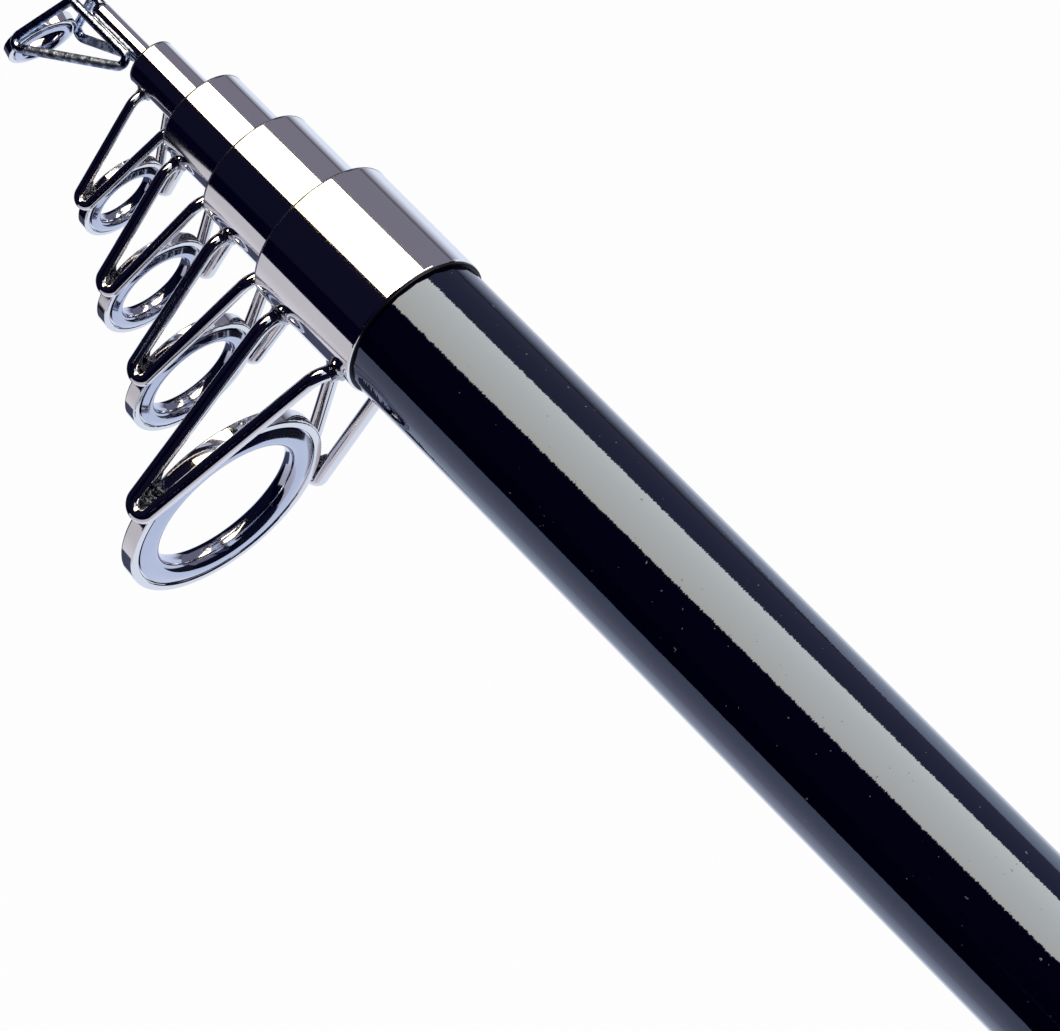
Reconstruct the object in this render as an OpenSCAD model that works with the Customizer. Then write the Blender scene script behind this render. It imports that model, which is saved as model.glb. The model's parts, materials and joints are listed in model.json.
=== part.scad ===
// Telescopic fishing rod, closed, with five nested sections, stepped guide collars and a screw reel seat.
// The rod lies along X with its tip at +X, the line guides hang towards -Z, and the origin is on the axis
// at the rear end of the rear grip's straight wall.

/* [Sections] */
// Distance from the origin to the mouth of the butt section
butt_len = 470; // [440:5:540]
// How far the second section's mouth stands in front of the butt's
second_step = 10.4; // [10:0.1:14]
// How far the third section's mouth stands in front of the second's
third_step = 8.6; // [8.4:0.1:12]
// How far the fourth section's mouth stands in front of the third's
fourth_step = 8.4; // [8.2:0.1:12]
// Length that stays inside the larger section at full reach
joint_len = 56; // [40:1:80]
// Radial clearance of the joint cones
joint_clear = 0.06; // [0.04:0.01:0.12]

/* [Blanks] */
// How much the butt blank's radius grows from its mouth to its rear end
butt_taper = 1.03; // [0.9:0.01:1.4]
// Wall of the butt blank
butt_wall = 1; // [0.9:0.05:1.1]
// Wall of the second blank
second_wall = 0.9; // [0.8:0.05:1]
// Wall of the third blank
third_wall = 0.8; // [0.7:0.05:0.9]
// Wall of the fourth blank
fourth_wall = 0.6; // [0.5:0.05:0.65]
// Diameter of the solid tip blank at its end
tip_end_d = 1.4; // [1.2:0.1:1.6]

/* [Collars and guides] */
// Wall of a guide collar
collar_wall = 0.4; // [0.35:0.05:0.5]
// Thickness of the rolled lip that covers a blank's end
collar_lip = 0.5; // [0.3:0.1:0.8]
// Length of a collar that stays inside the mouth behind it
collar_tuck = 1.6; // [1:0.1:3]
// Gap that the adhesive or the braze fills
glue_gap = 0.08; // [0.06:0.01:0.12]
// Angle of the wire feet from the underside of a collar
foot_angle = 35; // [30:1:40]
// Length of a wire's foot up to its knee, in wire diameters
foot_ratio = 1.3; // [1:0.1:1.8]
// Centre-line bend radius of the knee, in wire diameters
knee_ratio = 1.5; // [1:0.1:2]
// Lean of the guide rings, outer end towards the tip
ring_lean = 4; // [0:0.5:8]
// Centre-line bend radius of a wire, in wire diameters
bend_ratio = 0.8; // [0.75:0.05:1]
// How far an insert stands proud of its ring on each face
insert_proud = 0.3; // [0.2:0.05:0.4]
// Largest rounding of an insert's inner edges
insert_lip_r = 1; // [0.6:0.05:1.1]
// Radial gap of the adhesive round an insert
insert_gap = 0.14; // [0.08:0.01:0.2]
// Least straight length of an insert's bore
bore_land = 0.6; // [0.4:0.1:0.7]
// Rounding of small metal edges
edge_r = 0.25; // [0.15:0.05:0.3]

/* [Butt guide] */
// Outer diameter of the butt collar
butt_collar_d = 17; // [16.6:0.1:17.4]
// Length of the butt collar
butt_collar_len = 14.8; // [13.5:0.1:18]
// Outer diameter of the butt ring
butt_ring_d = 23.9; // [22:0.1:26]
// Bore of the butt insert
butt_bore_d = 16.7; // [15:0.1:17.5]
// Distance of the butt ring's centre below the rod's axis
butt_drop = 31.5; // [30:0.1:34]
// Distance of the butt ring behind its mouth
butt_ring_back = 4.5; // [4:0.1:6]
// Wire diameter of the butt guide
butt_wire_d = 1.6; // [1.4:0.1:1.8]
// Distance of the front wire foot behind the mouth
butt_front_foot = 3.3; // [2.5:0.1:4]
// Distance of the rear wire foot behind the mouth
butt_rear_foot = 12; // [10.5:0.1:12.6]
// Height of the butt wires' low bend above the ring's centre
butt_low_rise = 0.8; // [0.4:0.1:1.2]
// Radial thickness of the butt ring's band
butt_band_t = 0.95; // [0.7:0.05:1.1]
// Axial width of the butt ring's band
butt_band_w = 2; // [1.7:0.1:2.2]

/* [Second guide] */
// Radial gap between the second collar and the butt's mouth
second_gap = 0.27; // [0.2:0.01:0.5]
// Outer diameter of the second ring
second_ring_d = 15.1; // [14:0.1:16.5]
// Bore of the second insert
second_bore_d = 9.9; // [9:0.1:10.5]
// Distance of the second ring's centre below the rod's axis
second_drop = 23.3; // [22:0.1:25]
// Distance of the second ring behind its mouth
second_ring_back = 4.35; // [4:0.05:5]
// Wire diameter of the second guide
second_wire_d = 1.4; // [1.2:0.1:1.5]
// Distance of the front wire foot behind the mouth
second_front_foot = 3.2; // [2.5:0.1:3.5]
// Distance of the rear wire foot behind the mouth
second_rear_foot = 9.4; // [8:0.1:9.5]
// Height of the second wires' low bend above the ring's centre
second_low_rise = 0.8; // [0.4:0.1:1.2]
// Radial thickness of the second ring's band
second_band_t = 0.75; // [0.6:0.05:0.9]
// Axial width of the second ring's band
second_band_w = 1.7; // [1.5:0.1:1.9]

/* [Third guide] */
// Radial gap between the third collar and the second mouth
third_gap = 0.27; // [0.2:0.01:0.5]
// Outer diameter of the third ring
third_ring_d = 12.8; // [12:0.1:14]
// Bore of the third insert
third_bore_d = 8.2; // [7.6:0.1:8.6]
// Distance of the third ring's centre below the rod's axis
third_drop = 18.9; // [18:0.1:20.5]
// Distance of the third ring behind its mouth
third_ring_back = 3.95; // [3.6:0.05:4.5]
// Wire diameter of the third guide
third_wire_d = 1.3; // [1.1:0.1:1.4]
// Distance of the front wire foot behind the mouth
third_front_foot = 2; // [1.5:0.1:2.5]
// Distance of the rear wire foot behind the mouth
third_rear_foot = 7.7; // [6.8:0.1:7.8]
// Height of the third wires' low bend above the ring's centre
third_low_rise = 0.4; // [0:0.1:0.8]
// Radial thickness of the third ring's band
third_band_t = 0.7; // [0.6:0.05:0.8]
// Axial width of the third ring's band
third_band_w = 1.5; // [1.3:0.1:1.7]

/* [Fourth guide] */
// Radial gap between the fourth collar and the third mouth
fourth_gap = 1.12; // [0.9:0.01:1.2]
// Outer diameter of the fourth ring
fourth_ring_d = 10.1; // [9.4:0.1:11]
// Bore of the fourth insert
fourth_bore_d = 6.2; // [5.6:0.1:6.6]
// Distance of the fourth ring's centre below the rod's axis
fourth_drop = 14; // [13.4:0.1:15.5]
// Distance of the fourth ring behind its mouth
fourth_ring_back = 4.3; // [3.9:0.1:4.8]
// Wire diameter of the fourth guide
fourth_wire_d = 1.1; // [1:0.1:1.2]
// Distance of the front wire foot behind the mouth
fourth_front_foot = 2; // [1.5:0.1:2.5]
// Distance of the rear wire foot behind the mouth
fourth_rear_foot = 7.6; // [6.8:0.1:7.7]
// Height of the fourth wires' low bend above the ring's centre
fourth_low_rise = -0.1; // [-0.5:0.1:0.4]
// Radial thickness of the fourth ring's band
fourth_band_t = 0.6; // [0.5:0.05:0.7]
// Axial width of the fourth ring's band
fourth_band_w = 1.3; // [1.1:0.1:1.5]

/* [Tip top] */
// Radial gap between the tip-top tube and the fourth mouth
tip_gap = 0.52; // [0.4:0.01:0.6]
// Length of the tube that shows in front of the fourth mouth
tip_tube_out = 9; // [8:0.1:11]
// Outer diameter of the tip ring
tip_ring_d = 7.8; // [7.2:0.1:8.6]
// Bore of the tip insert
tip_bore_d = 4.6; // [4.2:0.1:4.8]
// Distance of the tip ring's centre below the axis
tip_drop = 7.5; // [7:0.1:8.2]
// Distance of the tip ring in front of the fourth mouth
tip_ring_out = 13.4; // [12.8:0.1:14.2]
// Lean of the tip ring, outer end towards the tip
tip_lean = 18; // [12:1:24]
// Wire diameter of the tip-top frame
tip_wire_d = 1; // [0.9:0.05:1.1]
// Angle of the frame wires round the tube, from its underside
tip_foot_angle = 75; // [65:1:85]
// Distance of the frame's front corner in front of the fourth mouth
tip_front_corner = 10.9; // [10.4:0.1:11.6]
// Distance of the frame's low bend in front of the fourth mouth
tip_bend_out = 12.1; // [11.6:0.1:12.8]
// Distance of the frame's rear corner behind the fourth mouth
tip_rear_corner = 0.6; // [0:0.1:0.8]
// Height of the frame's lowest bend above the tip ring's centre
tip_bend_rise = 0.4; // [0.2:0.1:0.8]
// Radial thickness of the tip ring's band
tip_band_t = 0.5; // [0.4:0.05:0.6]
// Axial width of the tip ring's band
tip_band_w = 1.3; // [1.1:0.1:1.5]

/* [Grips] */
// Foam thickness of the rear grip
grip_wall = 3.87; // [3.5:0.01:5]
// Length of the rear grip's straight wall
grip_len = 94; // [80:1:110]
// Rounding of the grips' ends
grip_round = 1.5; // [1:0.25:2.5]
// Length of the fore grip
fore_len = 46; // [35:1:60]
// Foam thickness at the fore grip's rear end
fore_rear_wall = 3.8; // [3.4:0.1:4.6]
// Foam thickness at the fore grip's front end
fore_front_wall = 1.6; // [1.5:0.1:2]
// Length of the trim ring in front of the fore grip
check_len = 4; // [3:0.5:6]
// Wall of that ring at its rear edge
check_rear_wall = 1.4; // [1.2:0.1:1.6]
// Wall of that ring at its front edge
check_wall = 0.8; // [0.7:0.1:1]

/* [Reel seat] */
// Wall of the seat's barrel
seat_wall = 2.08; // [1.9:0.02:2.6]
// Length of the barrel
seat_len = 110; // [105:1:130]
// How far the barrel's rear flange stands out from it
flange_rise = 1.5; // [1.2:0.1:2]
// Width of that flange
flange_w = 4; // [3:0.5:6]
// Length of a hood
hood_len = 20; // [18:0.5:24]
// Depth of the pocket for the reel's foot
pocket_depth = 15; // [12:0.5:16]
// Radius of the pocket's arch at its mouth
pocket_r = 9.3; // [9.1:0.1:9.8]
// How much smaller that radius is at the pocket's closed end
pocket_taper = 0.4; // [0.2:0.1:0.6]
// Height of the pocket's mouth under the barrel
pocket_room = 6.1; // [5.8:0.1:6.6]
// Wall of a hood
hood_wall = 1.5; // [1.2:0.1:2]
// Travel of the sliding hood
hood_travel = 20; // [15:1:24]
// Exposed thread left in front of the lock nut
thread_left = 6; // [4:0.5:8]
// Radial clearance of the sliding hood and the lock nut on the barrel
slide_clear = 0.15; // [0.1:0.01:0.25]
// Width of the keyway in the top of the barrel
key_w = 3.2; // [2.5:0.1:4]
// Depth of that keyway
key_depth = 0.9; // [0.7:0.1:1.1]
// Length of the lock nut
nut_len = 12; // [10:0.5:15]
// Wall of the lock nut
nut_wall = 2.35; // [2:0.05:3]
// Number of finger flutes round the lock nut
nut_flutes = 20; // [12:1:24]
// Radius of a finger flute
flute_r = 1.4; // [1:0.1:1.6]
// Depth of a finger flute
flute_depth = 0.8; // [0.5:0.1:1]
// Chamfer of the lock nut's ends
nut_chamfer = 0.6; // [0.3:0.1:1]

/* [Butt cap] */
// How much smaller the cap's radius is than the rear grip's
cap_inset = 0.7; // [0.4:0.1:1.2]
// Length of the cap's head
cap_len = 8; // [6:0.5:12]
// Length of the plug that screws into the socket
plug_len = 11; // [9:0.5:14]
// Wall of the plug
plug_wall = 1.6; // [1.2:0.1:2.2]
// Wall of the threaded socket in the blank
socket_wall = 0.6; // [0.5:0.05:0.65]
// Radial clearance of the cap's thread
thread_clear = 0.12; // [0.08:0.01:0.15]
// Thickness of the rubber cushion that the inner sections rest on
cushion_t = 3; // [2:0.5:5]
// Length of the cushion's stem in the plug
stem_len = 5; // [3:0.5:7]

/* [Hidden] */

$fn = 64;
left = 1;
right = -1;
over = 1;              // how far a cutter reaches past what it cuts
arc_steps = 6;         // straight steps in a small rounded edge
bend_steps = 6;        // straight steps in a corner of a tip-top wire
knee_steps = 4;        // straight steps in a knee of a guide wire
low_steps = 10;        // straight steps in the low bend of a guide wire
wire_sides = 12;       // sides of a wire's section
face_gap = 0.1;        // gap between flat faces of neighbouring pieces

// Sizes by section, from the butt to the fourth
mouth_x = [butt_len, butt_len + second_step, butt_len + second_step + third_step,
    butt_len + second_step + third_step + fourth_step];
wall = [butt_wall, second_wall, third_wall, fourth_wall];
layers = [for (w = wall) collar_wall + glue_gap + w];
butt_collar_r = butt_collar_d / 2;
second_collar_r = butt_collar_r - layers[0] - second_gap;
third_collar_r = second_collar_r - layers[1] - third_gap;
fourth_collar_r = third_collar_r - layers[2] - fourth_gap;
collar_r = [butt_collar_r, second_collar_r, third_collar_r, fourth_collar_r];
collar_len = [butt_collar_len, second_step + collar_tuck, third_step + collar_tuck,
    fourth_step + collar_tuck];
ring_r = [butt_ring_d, second_ring_d, third_ring_d, fourth_ring_d] / 2;
bore_r = [butt_bore_d, second_bore_d, third_bore_d, fourth_bore_d] / 2;
drop = [butt_drop, second_drop, third_drop, fourth_drop];
ring_back = [butt_ring_back, second_ring_back, third_ring_back, fourth_ring_back];
wire_r = [butt_wire_d, second_wire_d, third_wire_d, fourth_wire_d] / 2;
front_foot = [butt_front_foot, second_front_foot, third_front_foot, fourth_front_foot];
rear_foot = [butt_rear_foot, second_rear_foot, third_rear_foot, fourth_rear_foot];
low_rise = [butt_low_rise, second_low_rise, third_low_rise, fourth_low_rise];
band_t = [butt_band_t, second_band_t, third_band_t, fourth_band_t];
band_w = [butt_band_w, second_band_w, third_band_w, fourth_band_w];

// Blanks: each inner blank has a base cone that matches the bore of the section round it
rear_x = -grip_round;
rest_x = rear_x - face_gap + plug_len + cushion_t;
blank_end = [for (x = mouth_x) x - collar_lip];
mouth_r = [for (r = collar_r) r - collar_wall - glue_gap];
mouth_bore = [for (i = [0:3]) mouth_r[i] - wall[i]];
butt_rear_r = mouth_r[0] + butt_taper;
butt_slope = butt_taper / (blank_end[0] - rear_x);
joint_r = [for (i = [0:3]) mouth_bore[i] - joint_clear];
second_base = joint_r[0] + butt_slope * joint_len;
second_slope = (second_base - mouth_r[1]) / (blank_end[1] - rest_x);
third_base = joint_r[1] + second_slope * joint_len;
third_slope = (third_base - mouth_r[2]) / (blank_end[2] - rest_x);
fourth_base = joint_r[2] + third_slope * joint_len;
fourth_slope = (fourth_base - mouth_r[3]) / (blank_end[3] - rest_x);
tip_base = joint_r[3] + fourth_slope * joint_len;

// Tip top
tip_tube_r = mouth_bore[3] - tip_gap;
tip_tube_front = mouth_x[3] + tip_tube_out;
tip_tube_rear = mouth_x[3] - collar_tuck;
tip_end_x = tip_tube_front - 2 * tip_tube_r;

// Handle, from the rear forwards
seat_x = grip_len + grip_round + face_gap;
hood_x = seat_x + flange_w + face_gap;
seat_end = seat_x + seat_len;
nut_x = seat_end - thread_left - nut_len;
slider_x = nut_x - face_gap - hood_len;
fore_x = seat_end + face_gap;
check_x = fore_x + fore_len + face_gap;
keyway_x = slider_x - hood_travel - over;

// Radius of the butt blank's outside at a place along the axis, and the radii of what sits on and in it
function butt_r(x) = mouth_r[0] + butt_slope * (blank_end[0] - x);
grip_r = butt_rear_r + glue_gap + grip_wall;
seat_bore_r = butt_r(seat_x) + glue_gap;
seat_r = seat_bore_r + seat_wall;
flange_r = seat_r + flange_rise;
hood_ring_r = seat_r + slide_clear + hood_wall;
arch_drop = seat_r + pocket_room - pocket_r;
pocket_end_r = pocket_r - pocket_taper;
nut_bore_r = seat_r + slide_clear;
nut_r = nut_bore_r + nut_wall;
fore_bore_r = butt_r(fore_x) + glue_gap;
check_bore_r = butt_r(check_x) + glue_gap;
cap_r = grip_r - cap_inset;
socket_r = butt_r(rear_x + plug_len) - butt_wall - glue_gap;
plug_r = socket_r - socket_wall - thread_clear;

// Points of an arc about c, from angle a to angle b
function arc(c, r, a, b) = [for (i = [0:arc_steps]) let (t = a + (b - a) * i / arc_steps)
    c + r * heading(t)];
function unit(v) = v / norm(v);
function heading(a) = [cos(a), sin(a)];

// Turns a profile drawn as [radius, distance along the axis] round the X axis
module turned() {
    rotate([0, 90, 0])
        rotate_extrude()
            children();
}

// Straight cylinder or cone along X
module rod_x(x, length, r1, r2) {
    translate([x, 0, 0])
        rotate([0, 90, 0])
            cylinder(h = length, r1 = r1, r2 = r2);
}

// Ring-shaped profile with its four edges rounded
module rounded_band(r_in, r_out, x0, x1, fillet) {
    polygon(concat(
        arc([r_out - fillet, x1 - fillet], fillet, 0, 90),
        arc([r_in + fillet, x1 - fillet], fillet, 90, 180),
        arc([r_in + fillet, x0 + fillet], fillet, 180, 270),
        arc([r_out - fillet, x0 + fillet], fillet, 270, 360)));
}

// Blanks
module butt_blank() {
    color([0.03, 0.03, 0.06])
        difference() {
            rod_x(rear_x, blank_end[0] - rear_x, butt_rear_r, mouth_r[0]);
            rod_x(rear_x - over, blank_end[0] - rear_x + 2 * over,
                butt_r(rear_x - over) - butt_wall, butt_r(blank_end[0] + over) - butt_wall);
        }
}

// A hollow inner blank: its base cone fits the bore round it, and the rest tapers to its mouth
module inner_blank(i, base, slope, bore_slope) {
    length = blank_end[i] - rest_x;
    color([0.03, 0.03, 0.06])
        difference() {
            union() {
                rod_x(rest_x, joint_len, base, base - bore_slope * joint_len);
                rod_x(rest_x + joint_len, length - joint_len, base - bore_slope * joint_len, mouth_r[i]);
            }
            rod_x(rest_x - over, length + 2 * over,
                base + slope * over - wall[i], mouth_bore[i] - slope * over);
        }
}

module tip_blank() {
    color([0.03, 0.03, 0.06]) {
        rod_x(rest_x, joint_len, tip_base, joint_r[3]);
        rod_x(rest_x + joint_len, tip_end_x - rest_x - joint_len, joint_r[3], tip_end_d / 2);
    }
}

// Guide collar: a thin tube with a rolled front lip over the blank's end
module guide_collar(i) {
    inner = collar_r[i] - collar_wall;
    rear = mouth_x[i] - collar_len[i];
    color([0.8, 0.8, 0.83])
        turned()
            polygon(concat(
                arc([collar_r[i] - edge_r, mouth_x[i] - edge_r], edge_r, 0, 90),
                [[mouth_bore[i] + glue_gap, mouth_x[i]],
                    [mouth_bore[i] + glue_gap, mouth_x[i] - collar_lip + face_gap],
                    [inner, mouth_x[i] - collar_lip + face_gap],
                    [inner, rear]],
                arc([collar_r[i] - edge_r, rear + edge_r], edge_r, 270, 360)));
}

// Direction from p of the line that touches a circle, turned to one side by the sign of turn
function tangent_angle(p, c, r, turn) =
    atan2(c[1] - p[1], c[0] - p[0]) + turn * asin(r / norm(c - p));
// Point where the line from p at angle a meets the line from q at angle b
function meet(p, a, q, b) = let (d = q - p, s = (d[0] * sin(b) - d[1] * cos(b)) / sin(b - a))
    p + s * heading(a);

// Points of the centre line round one corner of a closed outline, bent to the radius bend
function bent_corner(before, corner, after, bend) =
    let (u = unit(before - corner), v = unit(after - corner), half = acos(u * v) / 2,
        centre = corner + unit(u + v) * bend / sin(half),
        start = corner + u * bend / tan(half) - centre,
        finish = corner + v * bend / tan(half) - centre,
        first = atan2(start[1], start[0]),
        turn = (start[0] * finish[1] - start[1] * finish[0] > 0 ? 1 : -1) * (180 - 2 * half))
    [for (k = [0:bend_steps]) let (t = first + turn * k / bend_steps)
        [centre + bend * heading(t), t + (turn > 0 ? 0 : 180)]];

// Points of one ring of a wire about c, in the directions a and b
function wire_ring(c, a, b, r) = [for (k = [0:wire_sides - 1]) let (t = (k + 0.5) * 360 / wire_sides)
    c + r * (cos(t) * a + sin(t) * b)];
// Faces of a wire of that many rings, closed on itself or with flat ends
function wire_faces(rings, closed) = concat(
    [for (i = [0:rings - (closed ? 1 : 2)]) for (k = [0:wire_sides - 1])
        let (j = (i + 1) % rings, m = (k + 1) % wire_sides)
        each [[i * wire_sides + k, j * wire_sides + m, j * wire_sides + k],
            [i * wire_sides + k, i * wire_sides + m, j * wire_sides + m]]],
    closed ? [] : [[for (k = [0:wire_sides - 1]) wire_sides - 1 - k],
        [for (k = [0:wire_sides - 1]) (rings - 1) * wire_sides + k]]);

// Place and direction at t on a line that runs at angle a, bends at the corner k and runs on at angle b
function bent_place(t, k, a, b, bend) =
    let (side = b > a ? 1 : -1, reach = bend * tan(abs(b - a) / 2))
    t <= -reach ? [k + t * heading(a), a] :
    t >= reach ? [k + t * heading(b), b] :
    let (now = a + (b - a) * (t + reach) / (2 * reach),
        centre = k - reach * heading(a) + side * bend * heading(a + 90))
    [centre - side * bend * heading(now + 90), now];

// Ring of a straight leg where it reaches t: its place, and its section cut along the rod
function leg_ring(foot, angle, facing, t) =
    [foot[0] + (t - foot[1]) / tan(angle), t, facing / sin(angle), 0];

// One side's wire of a guide, laid out on a sheet that leaves the collar square, bends once and passes
// beside the ring: two legs from their feet on the collar, joined in a low bend beside the ring's middle
module guide_wire(i, side) {
    r = wire_r[i];
    low_bend = 2 * r * bend_ratio;
    knee_bend = 2 * r * knee_ratio;
    foot_len = 2 * r * foot_ratio;
    foot_dir = foot_angle - 90;
    knee = (collar_r[i] + glue_gap + foot_len) * heading(foot_dir);
    lean = tangent_angle(knee, [0, -drop[i]], ring_r[i] + r + glue_gap, 1);
    low = [mouth_x[i] - ring_back[i], (low_rise[i] - drop[i] - knee[1]) / sin(lean) - low_bend];
    front = [mouth_x[i] - front_foot[i], -foot_len];
    rear = [mouth_x[i] - rear_foot[i], -foot_len];
    front_run = tangent_angle(front, low, low_bend, -1);
    rear_run = tangent_angle(rear, low, low_bend, 1);
    reach = knee_bend * tan(abs(lean - foot_dir) / 2);
    stops = [-foot_len, for (k = [0:knee_steps]) reach * (2 * k / knee_steps - 1)];
    line = concat(
        [for (t = stops) leg_ring(front, front_run, 1, t)],
        [for (k = [0:low_steps]) let (t = front_run - 90 + (rear_run - front_run + 180) * k / low_steps)
            [low[0] + low_bend * cos(t), low[1] + low_bend * sin(t), cos(t), sin(t)]],
        [for (k = [len(stops) - 1:-1:0]) leg_ring(rear, rear_run, -1, stops[k])]);
    points = [for (p = line) let (s = bent_place(p[1], knee, foot_dir, lean, knee_bend), t = s[1])
        each wire_ring([p[0], s[0][0], s[0][1]], [p[2], p[3] * cos(t), p[3] * sin(t)],
            [0, -sin(t), cos(t)], r)];
    color([0.62, 0.62, 0.66])
        mirror([0, side == left ? 0 : 1, 0])
            polyhedron(points, wire_faces(len(line), false));
}

// Places what is drawn round the X axis at a ring's centre, with the ring's lean
module at_ring(x, down, lean) {
    translate([x, 0, -down])
        rotate([0, -lean, 0])
            children();
}

// Outer band of a ring
module ring_band(r, thick, width) {
    color([0.75, 0.75, 0.79])
        turned()
            rounded_band(r - thick, r, -width / 2, width / 2, min(edge_r, thick / 4));
}

// Insert of a ring: flat faces, half-round inner edges and a straight bore between them
module ring_insert(r, bore, width) {
    half_w = width / 2;
    lip = min(insert_lip_r, half_w - bore_land / 2);
    color([0.7, 0.73, 0.82])
        turned()
            polygon(concat(
                arc([r - edge_r, half_w - edge_r], edge_r, 0, 90),
                arc([bore + lip, half_w - lip], lip, 90, 180),
                arc([bore + lip, lip - half_w], lip, 180, 270),
                arc([r - edge_r, edge_r - half_w], edge_r, 270, 360)));
}

module guide_ring(i) {
    at_ring(mouth_x[i] - ring_back[i], drop[i], ring_lean)
        ring_band(ring_r[i], band_t[i], band_w[i]);
}

module guide_insert(i) {
    at_ring(mouth_x[i] - ring_back[i], drop[i], ring_lean)
        ring_insert(ring_r[i] - band_t[i] - insert_gap, bore_r[i], band_w[i] + 2 * insert_proud);
}

// Tip top: a tube with a round nose, two frame wires, a band and its insert
module tip_top_tube() {
    socket = tip_end_x + face_gap;
    socket_wide = tip_end_d / 2 + glue_gap
        + (joint_r[3] - tip_end_d / 2) * (socket - tip_tube_rear) / (tip_end_x - rest_x - joint_len);
    color([0.78, 0.78, 0.82])
        turned()
            polygon(concat(
                arc([0, tip_tube_front - tip_tube_r], tip_tube_r, 0, 90),
                [[0, socket], [tip_end_d / 2 + glue_gap, socket], [socket_wide, tip_tube_rear],
                    [tip_tube_r, tip_tube_rear]]));
}

// One side's wire of the tip top: a closed loop that lies along the tube, leans out and passes beside the
// ring, where it turns back in a low bend
module tip_top_wire(side) {
    r = tip_wire_d / 2;
    bend = tip_wire_d * bend_ratio;
    foot = (tip_tube_r + r + glue_gap) * heading(tip_foot_angle - 90);
    lean = tangent_angle(foot, [0, -tip_drop], tip_ring_d / 2 + r + glue_gap, 1);
    low = [mouth_x[3] + tip_bend_out, (tip_bend_rise - tip_drop - foot[1]) / sin(lean) - bend];
    front = [mouth_x[3] + tip_front_corner, 0];
    rear = [mouth_x[3] - tip_rear_corner, 0];
    apex = meet(front, tangent_angle(front, low, bend, -1), rear, tangent_angle(rear, low, bend, 1));
    line = concat(bent_corner(rear, front, apex, bend), bent_corner(front, apex, rear, bend),
        bent_corner(apex, rear, front, bend));
    points = [for (p = line)
        each wire_ring([p[0][0], p[0][1], 0], [cos(p[1]), sin(p[1]), 0], [0, 0, 1], r)];
    color([0.62, 0.62, 0.66])
        mirror([0, side == left ? 0 : 1, 0])
            translate([0, foot[0], foot[1]])
                rotate([lean, 0, 0])
                    polyhedron(points, wire_faces(len(line), true));
}

module tip_top_ring() {
    at_ring(mouth_x[3] + tip_ring_out, tip_drop, tip_lean)
        ring_band(tip_ring_d / 2, tip_band_t, tip_band_w);
}

module tip_top_insert() {
    at_ring(mouth_x[3] + tip_ring_out, tip_drop, tip_lean)
        ring_insert(tip_ring_d / 2 - tip_band_t - insert_gap, tip_bore_d / 2, tip_band_w + 2 * insert_proud);
}

// Rear grip: a straight foam sleeve with rounded ends
module rear_grip() {
    color([0.09, 0.09, 0.1])
        turned()
            polygon(concat(
                arc([grip_r - grip_round, grip_len], grip_round, 0, 90),
                [[butt_rear_r + glue_gap, grip_len + grip_round], [butt_rear_r + glue_gap, rear_x]],
                arc([grip_r - grip_round, 0], grip_round, 270, 360)));
}

// Fore grip: a foam sleeve that tapers forwards
module fore_grip() {
    rear_r = fore_bore_r + fore_rear_wall;
    front_r = fore_bore_r + fore_front_wall;
    color([0.09, 0.09, 0.1])
        turned()
            polygon(concat(
                arc([front_r - grip_round, fore_x + fore_len - grip_round], grip_round, 0, 90),
                [[fore_bore_r, fore_x + fore_len], [fore_bore_r, fore_x]],
                arc([rear_r - grip_round, fore_x + grip_round], grip_round, 270, 360)));
}

// Trim ring that closes the front of the fore grip
module winding_check() {
    rear_r = check_bore_r + check_rear_wall;
    front_r = check_bore_r + check_wall;
    color([0.8, 0.8, 0.83])
        turned()
            polygon(concat(
                arc([front_r - edge_r, check_x + check_len - edge_r], edge_r, 0, 90),
                [[check_bore_r, check_x + check_len], [check_bore_r, check_x]],
                arc([rear_r - edge_r, check_x + edge_r], edge_r, 270, 360)));
}

// Reel seat barrel with a rear flange and a keyway along the top of its thread
module reel_seat() {
    color([0.1, 0.1, 0.11])
        difference() {
            turned()
                polygon(concat(
                    [[seat_r, seat_end], [seat_bore_r, seat_end], [seat_bore_r, seat_x]],
                    arc([flange_r - edge_r, seat_x + edge_r], edge_r, 270, 360),
                    arc([flange_r - edge_r, seat_x + flange_w - edge_r], edge_r, 0, 90),
                    [[seat_r, seat_x + flange_w]]));
            translate([keyway_x, -key_w / 2, seat_r - key_depth])
                cube([seat_end - keyway_x + over, key_w, key_depth + over]);
        }
}

// Hood with its closed end at X = 0 and its mouth towards +X: a ring round the barrel, with an arch
// below it over the pocket for the reel's foot
module hood(clear) {
    arch_r = pocket_r + hood_wall;
    nose_r = pocket_end_r + hood_wall;
    difference() {
        union() {
            rod_x(0, hood_len, hood_ring_r, hood_ring_r);
            translate([0, 0, -arch_drop])
                rod_x(hood_len - pocket_depth, pocket_depth, nose_r, arch_r);
            intersection() {
                translate([hood_len - pocket_depth, 0, -arch_drop])
                    sphere(r = nose_r);
                translate([0, -nose_r, -arch_drop - nose_r])
                    cube([hood_len - pocket_depth, 2 * nose_r, 2 * nose_r]);
            }
        }
        rod_x(-over, hood_len + 2 * over, seat_r + clear, seat_r + clear);
        translate([0, 0, -arch_drop])
            rod_x(hood_len - pocket_depth + hood_wall, pocket_depth - hood_wall + over,
                pocket_end_r, pocket_r);
    }
}

module fixed_hood() {
    color([0.55, 0.55, 0.58])
        translate([hood_x, 0, 0])
            hood(glue_gap);
}

// The sliding hood faces the fixed one and has a key that runs in the barrel's keyway
module sliding_hood() {
    key_wide = key_w - 2 * slide_clear;
    color([0.55, 0.55, 0.58]) {
        translate([slider_x + hood_len, 0, 0])
            mirror([1, 0, 0])
                hood(slide_clear);
        translate([slider_x, -key_wide / 2, seat_r - key_depth + slide_clear])
            cube([hood_len, key_wide, key_depth + hood_wall / 2]);
    }
}

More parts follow.
